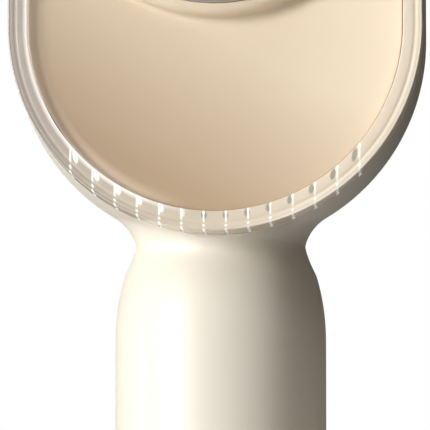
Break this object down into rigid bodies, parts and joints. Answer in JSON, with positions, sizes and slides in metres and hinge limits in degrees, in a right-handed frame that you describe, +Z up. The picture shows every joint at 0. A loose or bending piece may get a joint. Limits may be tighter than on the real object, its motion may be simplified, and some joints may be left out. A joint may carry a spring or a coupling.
{
  "type": "blackhead vacuum extractor",
  "caption": "Hand-held pore vacuum with a round handle, narrow neck, arched dished head, clear vented cover ring and pull-off suction tip.",
  "frame": {"origin": "centre of the round rubber pad that the handle stands on", "axes": "+Z up along the handle to the head, -Y the way the head and its suction tip face"},
  "size_m": [0.059, 0.056, 0.1805],
  "materials": {
    "pearl_shell": "pearl satin",
    "champagne_panel": "pearl satin",
    "clear_plastic": "clear moulded plastic",
    "steel": "satin",
    "grey_plastic": "moulded",
    "white_plastic": "moulded",
    "rubber": "matte",
    "pearl_rubber": "matte",
    "sponge": "open foam",
    "brass": "turned",
    "circuit": "solder mask",
    "cell_wrap": "shrink sleeve",
    "black_plastic": "moulded"
  },
  "bodies": {
    "body": {"front_shell": "pearl_shell", "rear_shell": "pearl_shell", "base_cap": "pearl_shell", "base_pad": "rubber", "base_screws": "steel", "shell_screws": "steel", "face_panel": "champagne_panel", "panel_gasket": "rubber", "trim_ring": "steel", "nozzle_base": "pearl_shell", "spigot_seal": "rubber", "filter_sponge": "sponge", "filter_grid": "white_plastic", "inner_frame": "grey_plastic", "frame_screws": "steel", "motor_sleeve": "rubber", "motor_can": "steel", "motor_magnets": "black_plastic", "motor_end_cap": "white_plastic", "motor_bushes": "brass", "pump_case": "grey_plastic", "diaphragm": "rubber", "valve_plate": "white_plastic", "valve_flaps": "rubber", "pump_head": "grey_plastic", "pump_screws": "steel", "suction_hose": "pearl_rubber", "exhaust_hose": "pearl_rubber", "exhaust_muffler": "sponge", "battery_cell": "cell_wrap", "battery_tray": "grey_plastic", "battery_tabs": "steel", "main_board": "circuit", "board_screws": "steel", "control_chips": "black_plastic", "switch_bases": "black_plastic", "indicator_leds": "white_plastic", "level_lights": "clear_plastic", "charge_board": "circuit", "charge_socket": "steel", "plug_anchor": "pearl_rubber", "motor_leads": "rubber", "charge_leads": "rubber", "battery_leads": "rubber"},
    "cover": {"clear_cover": "clear_plastic"},
    "tip": {"suction_tip": "clear_plastic"},
    "power_key": {"power_button": "champagne_panel", "power_switch_stem": "white_plastic"},
    "level_key": {"level_button": "champagne_panel", "level_switch_stem": "white_plastic"},
    "rotor": {"armature": "brass", "motor_shaft": "steel", "eccentric": "brass"},
    "rod": {"connecting_rod": "white_plastic"},
    "plug": {"port_plug": "pearl_rubber"}
  },
  "joints": [
    {"name": "cover_pull", "type": "slide", "parent": "body", "child": "cover", "axis": [0, -1, 0], "range_m": [0, 0.02]},
    {"name": "tip_pull", "type": "slide", "parent": "body", "child": "tip", "axis": [0, -1, 0], "range_m": [0, 0.02]},
    {"name": "power_press", "type": "slide", "parent": "body", "child": "power_key", "axis": [0, 1, 0], "range_m": [0, 0.0005], "stiffness_N_per_m": 2000, "springref_m": -0.0003},
    {"name": "level_press", "type": "slide", "parent": "body", "child": "level_key", "axis": [0, 1, 0], "range_m": [0, 0.0005], "stiffness_N_per_m": 2000, "springref_m": -0.0003},
    {"name": "rotor_spin", "type": "hinge", "parent": "body", "child": "rotor", "pos_m": [0, -0.001, 0.121], "axis": [1, 0, 0], "continuous": true},
    {"name": "rod_orbit", "type": "hinge", "parent": "rotor", "child": "rod", "pos_m": [0.0035, -0.001, 0.1201], "axis": [1, 0, 0], "continuous": true, "deforming": ["diaphragm"]},
    {"name": "plug_swing", "type": "hinge", "parent": "body", "child": "plug", "pos_m": [0, 0.01455, 0.0083], "axis": [-1, 0, 0], "range_deg": [0, 100]}
  ],
  "couplings": [
    {"joint": "rod_orbit", "follows": "rotor_spin", "ratio": -1}
  ]
}
